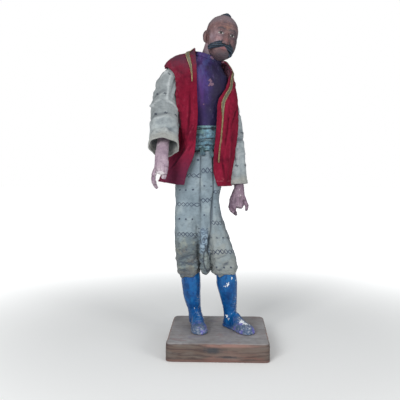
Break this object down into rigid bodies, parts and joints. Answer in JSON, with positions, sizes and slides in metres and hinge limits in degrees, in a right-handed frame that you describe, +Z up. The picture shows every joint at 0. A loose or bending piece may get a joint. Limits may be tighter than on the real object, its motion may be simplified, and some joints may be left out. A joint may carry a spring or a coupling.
{
  "type": "nativity crib figure",
  "caption": "Standing crib figure of carved, painted wood in real clothes: open velvet vest, sash, full trousers and wide sleeves, on a wooden block.",
  "frame": {"origin": "centre of the underside of the wooden block", "axes": "+Z up through the figure; the figure faces -Y, and its own right is at -X"},
  "size_m": [0.1337, 0.115, 0.3896],
  "materials": {
    "plinth_wood": "worn, bare and rubbed wood",
    "boot_paint": "glossy blue paint on wood, chipped",
    "trouser_cotton": "matt printed cotton, soiled at the knees",
    "shirt_paint": "satin purple paint on carved wood, scuffed",
    "sash_brocade": "brocade with a dull metallic thread",
    "sleeve_cotton": "matt cotton, creased",
    "vest_velvet": "worn red velvet",
    "braid": "woven green braid with pale gold edges",
    "skin_paint": "satin flesh paint on carved wood, rubbed"
  },
  "bodies": {
    "root": {"plinth": "plinth_wood", "boot_right": "boot_paint", "boot_left": "boot_paint", "trousers": "trouser_cotton", "torso": "shirt_paint", "sash": "sash_brocade", "sleeve_right": "sleeve_cotton", "sleeve_left": "sleeve_cotton", "vest": "vest_velvet", "vest_braid": "braid", "hand_right": "skin_paint", "hand_left": "skin_paint", "head": "skin_paint"}
  },
  "joints": []
}
